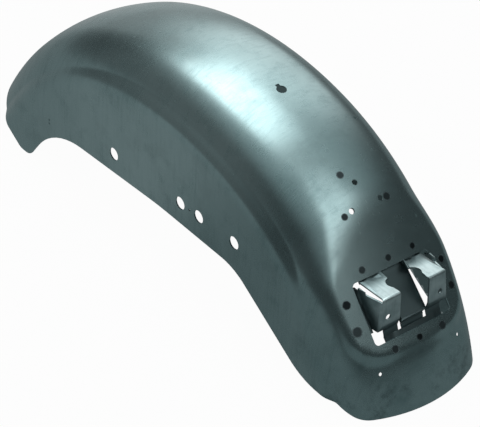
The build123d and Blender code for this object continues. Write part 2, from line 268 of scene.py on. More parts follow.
@dataclass(frozen=True)
class PressedSteel:
    """Bare sheet steel as it leaves the press: a thin film of oil, draw marks, specks and scuffs, with
    painted shade on its inner face and cut edges that are paler, partly by a painted highlight.
    """

    name: str = "pressed_steel"
    tone: tuple = (0.325, 0.460, 0.470, 1.0)
    dull_tone: tuple = (0.175, 0.284, 0.295, 1.0)
    # Dark tone of stains and specks, which also paints shade on the inner face
    stain_and_shade_tone: tuple = (0.075, 0.115, 0.120, 1.0)
    # Paler tone of the cut edges: bare metal of the fresh cut, and in part a painted highlight
    cut_edge_and_highlight_tone: tuple = (0.66, 0.74, 0.75, 1.0)
    roughness: float = 0.25
    metallic: float = 0.94
    # Scale, octaves and strength of the finer octaves of each noise
    streak_noise: tuple = (1.6, 4.0, 0.6)
    fine_noise: tuple = (7.0, 2.0, 0.6)
    cloud_noise: tuple = (9.0, 3.0, 0.55)
    grain_noise: tuple = (900.0, 2.0, 0.5)
    mottle_noise: tuple = (42.0, 4.0, 0.65)
    patch_noise: tuple = (26.0, 5.0, 0.7)
    sparse_noise: tuple = (30.0, 2.0, 0.5)
    scratch_noise: tuple = (2.2, 2.0, 0.5)
    scuff_noise: tuple = (14.0, 2.0, 0.5)
    # Streaks run straight down the skirts: x, y and z are stretched along them
    streak_stretch: tuple = (170.0, 30.0, 10.0)
    fine_stretch: tuple = (170.0, 60.0, 20.0)
    scratch_stretch: tuple = (35.0, 260.0, 35.0)
    scratch_slant: float = 8.0
    # Where a mark begins, where it is full, and its share of the colour
    cloud_dull: tuple = (0.40, 0.78, 0.40)
    streak_dull: tuple = (0.46, 0.76, 0.24)
    mottle_dull: tuple = (0.50, 0.75, 0.30)
    # Painted shade: the inner face of the sheet is darkened, as the inside of the shell lies in shade
    inside_painted_shade: tuple = (0.4, 1.0, 0.55)
    # Dark patches lie everywhere, and more of them towards the lower tail
    patch_step: tuple = (0.50, 0.66)
    stain_share: float = 0.10
    tail_stain_share: float = 0.38
    low_tail: tuple = (math.radians(16.0), math.radians(30.0))
    cut_step: tuple = (0.1, 0.8)
    speck_scale: float = 120.0
    speck_step: tuple = (0.03, 0.085)
    sparse_step: tuple = (0.50, 0.66)
    speck_share: float = 0.7
    scratch_step: tuple = (0.68, 0.74)
    scuff_step: tuple = (0.5, 0.62)
    # How far the cloud, the streaks, the mottle and the grain move the roughness
    rough_swings: tuple = (0.16, 0.14, 0.12, 0.05)
    scuff_rough: float = 0.12
    # Heights of the fine streaks, the grain, the streaks and the mottle
    heights: tuple = (0.2, 0.3, 0.2, 0.3)
    bump_strength: float = 0.045
    bump_depth: float = 0.0005

    def colour(
        self, net: Net, place: NodeSocket, angle: Signal, noises: tuple
    ) -> NodeSocket:
        """The steel's colour with its marks, painted shade on the inner face, and cut edges paler by
        fresh metal and a painted highlight.

        Args:
            net: The material's net.
            place: Object coordinates.
            angle: Angle round the axle.
            noises: The cloud, the streaks and the mottle.

        Returns:
            The colour's socket.
        """
        cloud, streak, mottle = noises
        dull = cloud.marked(*self.cloud_dull) + streak.marked(*self.streak_dull)
        dull = (dull + mottle.marked(*self.mottle_dull)).smaller(1.0)
        colour = net.blend(dull, self.tone, self.dull_tone)
        low_tail = 1.0 - angle.step(*self.low_tail)
        patch = net.noise(place, *self.patch_noise).step(*self.patch_step)
        stained = patch * (low_tail * self.tail_stain_share + self.stain_share)
        colour = net.blend(stained, colour, self.stain_and_shade_tone)
        # Painted shade darkens the inner face of the sheet
        inside = net.attribute("inside")
        colour = net.blend(inside.marked(*self.inside_painted_shade), colour, self.stain_and_shade_tone)
        # The cut edge is where the attribute is between the two faces, and 4 brings its peak to 1
        cut = inside * (1.0 - inside) * 4.0
        # The cut edges are paler: partly fresh-cut metal, partly a painted highlight where the edge
        # would catch light
        colour = net.blend(cut.step(*self.cut_step), colour, self.cut_edge_and_highlight_tone)
        speck = 1.0 - net.cells(place, self.speck_scale).step(*self.speck_step)
        sparse = net.noise(place, *self.sparse_noise).step(*self.sparse_step)
        return net.blend(speck * sparse * self.speck_share, colour, self.stain_and_shade_tone)

    def material(self) -> Material:
        """Builds the material."""
        material, net = new_material(self.name)
        place = net.place()
        x, y, z = net.split(place)
        angle = (z - AXLE.z).arctan2(x - AXLE.x)
        streak = net.noise(net.stretched((x, y, z), self.streak_stretch), *self.streak_noise)
        fine = net.noise(net.stretched((x, y, z), self.fine_stretch), *self.fine_noise)
        cloud = net.noise(place, *self.cloud_noise)
        grain = net.noise(place, *self.grain_noise)
        mottle = net.noise(place, *self.mottle_noise)
        colour = self.colour(net, place, angle, (cloud, streak, mottle))
        a, b, c = self.scratch_stretch
        way = net.join(x * a + z * self.scratch_slant, y * b, z * c)
        scratch = net.noise(way, *self.scratch_noise).step(*self.scratch_step)
        scuff = scratch * net.noise(place, *self.scuff_noise).step(*self.scuff_step)
        rough = self.roughness + scuff * self.scuff_rough
        for noise, swing in zip((cloud, streak, mottle, grain), self.rough_swings):
            rough = rough + (noise - 0.5) * swing
        a, b, c, d = self.heights
        height = fine * a + grain * b + streak * c + mottle * d
        normal = net.bump(self.bump_strength, self.bump_depth, height)
        values = {"Base Color": colour, "Metallic": self.metallic, "Roughness": rough}
        net.output("ShaderNodeBsdfPrincipled", {**values, "Normal": normal})
        return material


@dataclass(frozen=True)
class WeldMark:
    """Burnt skin of a spot weld, darkest inside its rim."""

    name: str = "weld_mark"
    burnt: tuple = (0.010, 0.016, 0.018, 1.0)
    edge_tone: tuple = (0.16, 0.22, 0.23, 1.0)
    roughness: float = 0.42
    metallic: float = 0.85
    cloud_noise: tuple = (420.0, 3.0, 0.6)
    # How ragged the rim is, where it fades, and how much one mark is paler than another
    ragged: float = 0.35
    fade: tuple = (0.72, 1.02)
    tone_share: float = 0.3
    rough_swing: float = 0.2

    def material(self) -> Material:
        """Builds the material."""
        material, net = new_material(self.name)
        rim, tone = net.attribute("rim"), net.attribute("tone")
        cloud = net.noise(net.place(), *self.cloud_noise)
        fade = (rim + (cloud - 0.5) * self.ragged).step(*self.fade)
        paler = (fade + tone * self.tone_share).smaller(1.0)
        colour = net.blend(paler, self.burnt, self.edge_tone)
        rough = self.roughness + (cloud - 0.5) * self.rough_swing
        values = {"Base Color": colour, "Metallic": self.metallic, "Roughness": rough}
        net.output("ShaderNodeBsdfPrincipled", values)
        return material


@dataclass(frozen=True)
class BracketSteel:
    """Stamped plate with a paler, brushed satin, darkened by painted shade deep inside the opening."""

    name: str = "bracket_steel"
    tone: tuple = (0.47, 0.59, 0.60, 1.0)
    dull_tone: tuple = (0.28, 0.38, 0.39, 1.0)
    painted_shade_tone: tuple = (0.105, 0.150, 0.156, 1.0)
    roughness: float = 0.36
    pad_angle: float = math.radians(37.0) + REST_TILT
    # Height over the axle, square to the pad, where the painted shade of the plate's deep parts gives
    # way to its own colour
    shade_edge: tuple = (0.339, 0.352)
    shade_edge_ragged: float = 0.006
    metallic: float = 0.92
    # Scale, octaves and strength of the finer octaves of each noise
    brush_noise: tuple = (1.0, 3.0, 0.6)
    cloud_noise: tuple = (55.0, 4.0, 0.6)
    grain_noise: tuple = (1100.0, 2.0, 0.5)
    brush_stretch: tuple = (40.0, 500.0, 40.0)
    # Where a mark begins, where it is full, and its share of the colour
    cloud_dull: tuple = (0.38, 0.68, 0.75)
    brush_dull: tuple = (0.45, 0.70, 0.35)
    # How far the cloud and the brush marks move the roughness
    rough_swings: tuple = (0.16, 0.10)
    bump_strength: float = 0.08
    bump_depth: float = 0.0004

    def material(self) -> Material:
        """Builds the material."""
        material, net = new_material(self.name)
        place = net.place()
        x, y, z = net.split(place)
        out_x, out_z = math.cos(self.pad_angle), math.sin(self.pad_angle)
        height = (x - AXLE.x) * out_x + (z - AXLE.z) * out_z
        brush = net.noise(net.stretched((x, y, z), self.brush_stretch), *self.brush_noise)
        cloud = net.noise(place, *self.cloud_noise)
        grain = net.noise(place, *self.grain_noise)
        dull = (cloud.marked(*self.cloud_dull) + brush.marked(*self.brush_dull)).smaller(1.0)
        colour = net.blend(dull, self.tone, self.dull_tone)
        # Painted shade: the plate is darkened where it lies deep in the opening
        unshaded = (height + (cloud - 0.5) * self.shade_edge_ragged).step(*self.shade_edge)
        colour = net.blend(unshaded, self.painted_shade_tone, colour)
        cloud_swing, brush_swing = self.rough_swings
        rough = self.roughness + (cloud - 0.5) * cloud_swing + (brush - 0.5) * brush_swing
        normal = net.bump(self.bump_strength, self.bump_depth, brush * 0.5 + grain * 0.5)
        values = {"Base Color": colour, "Metallic": self.metallic, "Roughness": rough}
        net.output("ShaderNodeBsdfPrincipled", {**values, "Normal": normal})
        return material


@dataclass(frozen=True)
class StudioFloor:
    """Pale floor that the camera and the metal see as white, with the object's own shadow on it."""

    name: str = "studio_floor"
    tone: float = 0.80
    lift: float = 0.97

    def material(self) -> Material:
        """Builds the material."""
        material, net = new_material(self.name)
        share = seen_rays(net) * self.lift
        tone = (self.tone, self.tone, self.tone, 1.0)
        matte = net.node("ShaderNodeBsdfDiffuse", None, {"Color": tone}).outputs[0]
        glow = net.node("ShaderNodeEmission", None, {"Color": WHITE, "Strength": 1.0}).outputs[0]
        net.output("ShaderNodeMixShader", {0: share, 1: matte, 2: glow})
        return material


@dataclass(frozen=True)
class TentCloth:
    """Cloth of the studio tent: dark round the horizon, with soft lights behind its upper part."""

    name: str = "tent_cloth"
    ground: float = 0.27
    horizon: float = 0.045
    crown: float = 0.42
    # Each light: azimuth and elevation in degrees, spread in degrees and strength
    lights: tuple = (
        (178.0, 66.0, 20.0, 2.1),
        (130.0, 36.0, 21.0, 1.2),
        (11.0, 55.0, 17.0, 1.35),
        (150.0, 14.0, 20.0, 0.28),
        (-130.0, 19.0, 28.0, 0.12),
        (-172.0, -24.0, 20.0, 0.12),
    )
    cloth_tint: tuple = (0.90, 1.0, 1.01)
    light_tint: tuple = (1.05, 1.0, 0.99)
    # Heights of the cloth, as sines: its edge with the ground sheet, and where it turns pale
    edge: tuple = (-0.01, 0.02)
    paling: tuple = (math.sin(math.radians(26.0)), math.sin(math.radians(64.0)))
    falloff: float = 6.0

    def material(self) -> Material:
        """Builds the material."""
        material, net = new_material(self.name)
        way = net.vector("NORMALIZE", net.place())
        height = net.split(way)[2]
        glow = height.step(*self.paling, self.horizon, self.crown)
        shade = self.ground + (glow - self.ground) * height.step(*self.edge)
        lobes = []
        for azimuth, elevation, spread, strength in self.lights:
            a, e = math.radians(azimuth), math.radians(elevation)
            toward = (math.cos(a) * math.cos(e), math.sin(a) * math.cos(e), math.sin(e))
            apart = net.length(net.vector("SUBTRACT", way, toward)) / math.radians(spread)
            lobes.append(strength / (1.0 + apart**self.falloff))
        shine = sum(lobes[1:], lobes[0])
        cloth, light = net.scaled(self.cloth_tint, shade), net.scaled(self.light_tint, shine)
        colour = net.vector("ADD", cloth, light)
        net.output("ShaderNodeEmission", {"Color": colour, "Strength": 1.0})
        return material


def seen_rays(net: Net) -> Signal:
    """1 where the camera, a reflection or a view through glass meets the background."""
    path = net.node("ShaderNodeLightPath")
    camera = Signal(net, path.outputs["Is Camera Ray"])
    glossy = Signal(net, path.outputs["Is Glossy Ray"])
    clear = Signal(net, path.outputs["Is Transmission Ray"])
    return camera.larger(glossy).larger(clear)


# Pieces


def finished(piece: Object, material: Material) -> None:
    """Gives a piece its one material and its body.

    Args:
        piece: The finished piece.
        material: Its material.
    """
    piece.data.materials.clear()
    piece.data.materials.append(material)
    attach(piece, "root")


def placed(name: str, data: ID) -> Object:
    """Puts new data in the scene as an object."""
    made = bpy.data.objects.new(name, data)
    bpy.context.scene.collection.objects.link(made)
    return made


def make_plain(piece: Object) -> None:
    """Turns a piece's modifiers into its plain mesh."""
    graph = bpy.context.evaluated_depsgraph_get()
    mesh = bpy.data.meshes.new_from_object(piece.evaluated_get(graph))
    piece.modifiers.clear()
    piece.data = mesh


def face_outward(mesh: Mesh) -> None:
    """Turns every face of a closed mesh outward."""
    work = bmesh.new()
    work.from_mesh(mesh)
    bmesh.ops.recalc_face_normals(work, faces=work.faces)
    work.to_mesh(mesh)
    work.free()


def to_row(x: float, y: float, z: float) -> Vector:
    """Row point of side coordinates in millimetres, taken from the wheel's axle."""
    c, t = math.cos(REST_TILT), math.sin(REST_TILT)
    return AXLE + Vector((x * c - z * t, y, x * t + z * c)) * MM


def spokes(angle: float) -> tuple[Vector, Vector]:
    """Directions away from the axle and ahead round it, at an angle in degrees."""
    a = math.radians(angle)
    return Vector((math.cos(a), 0, math.sin(a))), Vector((-math.sin(a), 0, math.cos(a)))


def round_outline(
    middle: Vector, first: Vector, second: Vector, radius: float, steps: int = 40
) -> list[Vector]:
    """Outline of a round hole on two directions."""
    turns = [2 * math.pi * i / steps for i in range(steps)]
    return [
        middle + first * (radius * math.cos(t)) + second * (radius * math.sin(t)) for t in turns
    ]


def smooth_max(a: float, b: float, k: float) -> float:
    """The larger of two numbers, rounded off where they are within k of each other."""
    h = max(k - abs(a - b), 0.0) / k
    return max(a, b) + h * h * k / 4


def smooth_min(a: float, b: float, k: float) -> float:
    """The smaller of two numbers, rounded off where they are within k of each other."""
    return -smooth_max(-a, -b, k)


def smooth_share(value: float, low: float, high: float) -> float:
    """0 below low, 1 above high and smooth between."""
    t = min(max((value - low) / (high - low), 0.0), 1.0)
    return t * t * (3 - 2 * t)


def rounded_path(corners: list[tuple], radii: list[float], steps: int = 10) -> list[tuple]:
    """Rounds the corners of an open path.

    Args:
        corners: Its points.
        radii: One radius for each inner corner.
        steps: Points on each arc.

    Returns:
        The points of the rounded path.
    """
    points = [corners[0]]
    for before, here, after, radius in zip(corners, corners[1:], corners[2:], radii):
        p, q, r = Vector(before), Vector(here), Vector(after)
        to_p, to_r = (p - q).normalized(), (r - q).normalized()
        half = to_p.angle(to_r) / 2
        if half > math.radians(89.9):
            points.append(here)
            continue
        reach = radius / math.tan(half)
        centre = q + (to_p + to_r).normalized() * (radius / math.sin(half))
        start, end = q + to_p * reach - centre, q + to_r * reach - centre
        for step in range(steps + 1):
            spoke = start.lerp(end, step / steps)
            points.append(tuple(centre + spoke.normalized() * radius))
    points.append(corners[-1])
    return points


@dataclass(frozen=True)
class PressForm:
    """The pressed form in millimetres from the wheel's axle, with the numbers of the solid."""

    crown_radius: float = 348.7
    flare_radius: float = 438.2
    tail_angle: float = 7.0
    joint_angle: float = 72.7
    front_angle: float = 148.0
    cross_radius: float = 175.0
    shoulder_radius: float = 65.1
    tail_shoulder_radius: float = 40.0
    blend: tuple = (36.0, 50.0)
    crown_half: float = 94.3
    skirt_half: float = 100.0
    roll_radius: float = 29.0
    roll_depth: float = 37.9
    crease_softness: float = 3.0
    deepest: float = 190.0
    pad_angle: float = 37.0
    pad_apex: float = 338.8
    pad_cross_radius: float = 370.0
    pad_span: tuple = (-35.0, 80.0)
    pad_half: float = 76.0
    pad_corner: float = 32.0
    pad_wall: tuple = (-5.0, 8.0)
    pad_softness: float = 5.0
    # The pad's press fades out between these depths, and reaches no further than these limits
    pad_hold: tuple = (48.0, 58.0)
    pad_slope_limit: float = 125.0
    pad_height_limit: float = 200.0
    # Depth where the points of the roll begin, and steps over crown, shoulder, roll and skirt
    roll_start: float = 30.0
    section_steps: tuple = (12, 20, 24, 24)
    # Sections on the arc round the wheel and on the front arc
    station_counts: tuple = (118, 160)

    def flare_centre(self) -> tuple[float, float]:
        """Centre of the front arc."""
        a = math.radians(self.joint_angle)
        away = self.crown_radius - self.flare_radius
        return away * math.cos(a), away * math.sin(a)

    def shoulder(self, angle: float) -> float:
        """Shoulder radius at an angle round the axle."""
        share = smooth_share(angle, *self.blend)
        return self.tail_shoulder_radius + (self.shoulder_radius - self.tail_shoulder_radius) * share

    def half_section(self, radius: float) -> list[tuple[float, float]]:
        """Half of a section from the crown to the deepest point of the skirt.

        Args:
            radius: The shoulder's radius.

        Returns:
            Points (y, depth) from the middle outward.
        """
        centre_y = self.crown_half - radius
        centre_d = self.cross_radius - math.sqrt((self.cross_radius - radius) ** 2 - centre_y**2)
        lean = math.atan2(centre_y, self.cross_radius - centre_d)
        turn = math.acos((centre_d - self.roll_start) / radius)
        crown_steps, shoulder_steps, roll_steps, skirt_steps = self.section_steps
        points = []
        for step in range(crown_steps):
            a = lean * step / crown_steps
            points.append((self.cross_radius * math.sin(a), self.cross_radius * (1 - math.cos(a))))
        for step in range(shoulder_steps):
            a = lean + (turn - lean) * step / shoulder_steps
            points.append((centre_y + radius * math.sin(a), centre_d - radius * math.cos(a)))
        roll_end = self.roll_depth + self.roll_radius
        for step in range(roll_steps):
            depth = self.roll_start + (roll_end - self.roll_start) * step / roll_steps
            side = self.crown_half
            if depth < centre_d:
                side = centre_y + math.sqrt(radius**2 - (centre_d - depth) ** 2)
            roll = 0.0
            if depth > self.roll_depth:
                rise = self.roll_radius**2 - (roll_end - depth) ** 2
                roll = self.skirt_half - self.roll_radius + math.sqrt(rise)
            points.append((smooth_max(side, roll, self.crease_softness), depth))
        for step in range(skirt_steps + 1):
            depth = roll_end + (self.deepest - roll_end) * step / skirt_steps
            points.append((self.skirt_half, depth))
        return points

    def pad_frame(self, x: float, z: float) -> tuple[float, float]:
        """Slope and height of a point in the pad's frame."""
        a = math.radians(self.pad_angle)
        return x * math.sin(a) - z * math.cos(a), x * math.cos(a) + z * math.sin(a)

    def from_pad(self, slope: float, height: float) -> tuple[float, float]:
        """Side coordinates of a point of the pad's frame."""
        a = math.radians(self.pad_angle)
        return height * math.cos(a) + slope * math.sin(a), height * math.sin(a) - slope * math.cos(a)

    def pad_top(self, y: float) -> float:
        """Height of the shallow pad surface."""
        return self.pad_apex - self.pad_cross_radius + math.sqrt(self.pad_cross_radius**2 - y * y)

    def with_pad(self, x: float, y: float, z: float, depth: float) -> tuple[float, float]:
        """Presses the pad into one point of the form.

        Args:
            x: Its side coordinate rearward.
            y: Its place across.
            z: Its side coordinate upward.
            depth: Its depth below the crown.

        Returns:
            The new x and z.
        """
        slope, height = self.pad_frame(x, z)
        hold = 1.0 - smooth_share(depth, *self.pad_hold)
        beyond = abs(slope) > self.pad_slope_limit or height < self.pad_height_limit
        if hold <= 0.0 or beyond:
            return x, z
        top = self.pad_top(y)
        middle = sum(self.pad_span) / 2
        half_length = (self.pad_span[1] - self.pad_span[0]) / 2
        over_y = abs(y) - (self.pad_half - self.pad_corner)
        over_s = abs(slope - middle) - (half_length - self.pad_corner)
        outside = math.hypot(max(over_y, 0.0), max(over_s, 0.0)) + min(max(over_y, over_s), 0.0)
        outside -= self.pad_corner
        flat = smooth_min(height, top, self.pad_softness)
        pressed = top + (flat - top) * smooth_share(outside, *self.pad_wall)
        return self.from_pad(slope, height + (pressed - height) * hold)

    def stations(self) -> list[tuple[tuple, float, float]]:
        """Centre, radius and angle of each section from the tail to the front."""
        made = []
        tail_count, front_count = self.station_counts
        for step in range(tail_count):
            angle = self.tail_angle + (self.joint_angle - self.tail_angle) * step / tail_count
            made.append(((0.0, 0.0), self.crown_radius, angle))
        for step in range(front_count + 1):
            angle = self.joint_angle + (self.front_angle - self.joint_angle) * step / front_count
            made.append((self.flare_centre(), self.flare_radius, angle))
        return made

    def surface(self) -> list[list[Vector]]:
        """Rows of points on the outer face, in side coordinates (x, y, z)."""
        rows = []
        for centre, radius, angle in self.stations():
            shoulder = self.shoulder(angle) if centre == (0.0, 0.0) else self.shoulder_radius
            half = self.half_section(shoulder)
            c, s = math.cos(math.radians(angle)), math.sin(math.radians(angle))
            row = []
            for y, depth in [(-y, d) for y, d in reversed(half[1:])] + half:
                x = centre[0] + (radius - depth) * c
                z = centre[1] + (radius - depth) * s
                x, z = self.with_pad(x, y, z, depth)
                row.append(Vector((x, y, z)))
            rows.append(row)
        return rows


@dataclass
class Cutter:
    """Closed prisms, kept in one mesh, that cut the sheet."""

    name: str
    points: list = field(default_factory=list)
    faces: list = field(default_factory=list)

    def prism(self, outline: list[Vector], way: Vector) -> None:
        """Adds a prism on an outline.

        Args:
            outline: Points of its first face, in side coordinates.
            way: From the first face to the second.
        """
        base, count = len(self.points), len(outline)
        self.points += outline + [p + way for p in outline]
        self.faces.append([base + i for i in reversed(range(count))])
        self.faces.append([base + count + i for i in range(count)])
        for i in range(count):
            j = (i + 1) % count
            self.faces.append([base + i, base + j, base + count + j, base + count + i])

    def object(self) -> Object:
        """The cutter as an object in the row's frame."""
        mesh = bpy.data.meshes.new(self.name)
        mesh.from_pydata([to_row(*p) for p in self.points], [], self.faces)
        face_outward(mesh)
        return placed(self.name, mesh)


@dataclass
class Shell:
    """The pressed shell: a dense sheet on the press form, cut like the solid."""

    node: str = "fender_shell"
    form: PressForm = field(default_factory=PressForm)
    sheet: float = 1.6
    smooth_angle: float = math.radians(40.0)
    front_angle: float = 146.0
    edge_corners: tuple = (
        (-309.0, 104.9), (-288.7, 104.9), (-232.6, 173.5), (-20.0, 175.5), (118.7, 167.5),
        (237.7, 86.0), (291.0, 82.2), (318.0, 70.2), (400.0, 66.0),
    )
    edge_radii: tuple = (20.0, 18.0, 125.0, 600.0, 80.0, 90.0, 20.0, 40.0)
    # Reach of the trim prism in the side view, and half its width
    trim_reach: float = 480.0
    trim_half_width: float = 130.0
    strut_z: float = 201.0
    strut_x: tuple = (-105.7, 21.8, 55.8, 119.3)
    strut_radius: float = 8.0
    # Small holes through both skirts: x, z and radius
    small_holes: tuple = ((38.8, 201.0, 1.6), (-240.2, 180.6, 1.2), (-240.6, 175.6, 1.2))
    # The lamp opening: place down the pad's slope, width, length and corner radius
    opening: tuple = (29.2, 108.0, 72.0, 5.0)
    # The two holes under the opening: place across, place down the slope and radius
    tail_holes: tuple = (56.0, 95.0, 2.0)
    # Holes in the crown: angle round the axle and place across
    right_holes: tuple = ((66.3, 56.5), (44.5, 56.5))
    right_radius: float = 2.0
    cluster: tuple = ((50.1, -20.3), (50.1, 20.3), (54.5, 0.0))
    cluster_radius: float = 3.5
    # The keyhole: its angle, and its radius, half slot and reach
    keyhole_angle: float = 77.2
    keyhole: tuple = (6.0, 2.5, 9.0)
    # How far under the surface a drill starts, and its length
    crown_drill: tuple = (40.0, 70.0)
    pad_drill: tuple = (30.0, 60.0)
    skirt_drill: tuple = (120.0, 240.0)
    finish: PressedSteel = field(default_factory=PressedSteel)

    def sheet_mesh(self) -> Mesh:
        """The closed sheet before it is cut."""
        rows = self.form.surface()
        count, width = len(rows), len(rows[0])
        outer, inner = [], []
        for i, row in enumerate(rows):
            for j, point in enumerate(row):
                along = rows[min(i + 1, count - 1)][j] - rows[max(i - 1, 0)][j]
                across = row[min(j + 1, width - 1)] - row[max(j - 1, 0)]
                normal = along.cross(across).normalized()
                outer.append(to_row(*point))
                inner.append(to_row(*(point + normal * self.sheet)))
        size = count * width
        faces = []
        for i in range(count - 1):
            for j in range(width - 1):
                a, b = i * width + j, (i + 1) * width + j
                faces.append((a, b, b + 1, a + 1))
                faces.append((size + a, size + a + 1, size + b + 1, size + b))
        for i in range(count - 1):
            for j in (0, width - 1):
                a, b = i * width + j, (i + 1) * width + j
                faces.append((a, b, size + b, size + a))
        for j in range(width - 1):
            for i in (0, count - 1):
                a = i * width + j
                faces.append((a, a + 1, size + a + 1, size + a))
        mesh = bpy.data.meshes.new("shell_sheet")
        mesh.from_pydata(outer + inner, [], faces)
        inside = [0.0] * size + [1.0] * size
        mesh.attributes.new("inside", "FLOAT", "POINT").data.foreach_set("value", inside)
        face_outward(mesh)
        return mesh

    def trim(self) -> Cutter:
        """Prism over the shell's side view."""
        a, far = math.radians(self.front_angle), self.trim_reach
        centre = self.form.flare_centre()
        front = (centre[0] + far * math.cos(a), centre[1] + far * math.sin(a))
        path = rounded_path([front, *self.edge_corners], list(self.edge_radii))
        path += [(far, self.edge_corners[-1][1]), (far, far), (-far, far)]
        cutter = Cutter("trim")
        half = self.trim_half_width
        cutter.prism([Vector((x, -half, z)) for x, z in path], ACROSS * (2 * half))
        return cutter

    def drill_crown(self, holes: Cutter, angle: float, y: float, radius: float) -> None:
        """Drills one hole through the crown, square to it at the middle."""
        out, ahead = spokes(angle)
        depth, length = self.crown_drill
        middle = out * (self.form.crown_radius - depth) + ACROSS * y
        holes.prism(round_outline(middle, ACROSS, ahead, radius), out * length)

    def drill_keyhole(self, holes: Cutter, steps: int = 40) -> None:
        """Drills the keyhole near the top, with its narrow end toward the front."""
        out, ahead = spokes(self.keyhole_angle)
        depth, length = self.crown_drill
        middle = out * (self.form.crown_radius - depth)
        radius, half, reach = self.keyhole
        start = math.asin(half / radius)
        outline = []
        for step in range(steps + 1):
            turn = math.pi / 2 + start + (2 * math.pi - 2 * start) * step / steps
            spoke = ACROSS * math.cos(turn) + ahead * math.sin(turn)
            outline.append(middle + spoke * radius)
        outline += [middle + ACROSS * y + ahead * reach for y in (half, -half)]
        holes.prism(outline, out * length)

    def drill_pad(self, holes: Cutter) -> None:
        """Cuts the lamp opening and drills the two holes under it."""
        out, ahead = spokes(self.form.pad_angle)
        down = -ahead
        depth, length = self.pad_drill
        base = out * (self.form.pad_apex - depth)
        slope, wide, long, corner = self.opening
        w, h = wide / 2, long / 2
        loop = [(0, -h), (w, -h), (w, h), (-w, h), (-w, -h), (0, -h)]
        path = rounded_path(loop, [corner] * 4)[:-1]
        outline = [base + ACROSS * p[0] + down * (slope + p[1]) for p in path]
        holes.prism(outline, out * length)
        side, low, radius = self.tail_holes
        for y in (-side, side):
            middle = base + ACROSS * y + down * low
            holes.prism(round_outline(middle, ACROSS, down, radius), out * length)

    def drill(self) -> Cutter:
        """All holes and the lamp opening."""
        holes = Cutter("holes")
        start, length = self.skirt_drill
        struts = [(x, self.strut_z, self.strut_radius) for x in self.strut_x]
        for x, z, radius in [*struts, *self.small_holes]:
            middle = Vector((x, -start, z))
            holes.prism(round_outline(middle, REARWARD, UPWARD, radius), ACROSS * length)
        for angle, y in self.cluster:
            self.drill_crown(holes, angle, y, self.cluster_radius)
        for angle, y in self.right_holes:
            self.drill_crown(holes, angle, y, self.right_radius)
        self.drill_keyhole(holes)
        self.drill_pad(holes)
        return holes

    def build(self) -> Object:
        """Builds the sheet and cuts it."""
        piece = placed("shell_sheet", self.sheet_mesh())
        for cutter, operation in ((self.trim(), "INTERSECT"), (self.drill(), "DIFFERENCE")):
            tool = cutter.object()
            cut = piece.modifiers.new(cutter.name, "BOOLEAN")
            cut.operation = operation
            cut.solver = "EXACT"
            cut.object = tool
            make_plain(piece)
            bpy.data.objects.remove(tool)
        piece.data.name = "shell_sheet"
        piece.data.shade_smooth()
        piece.data.set_sharp_from_angle(angle=self.smooth_angle)
        return piece

    def dress(self, piece: Object) -> None:
        """Finishes the sheet and lets it stand for the node."""
        finished(piece, self.finish.material())
        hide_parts(self.node)


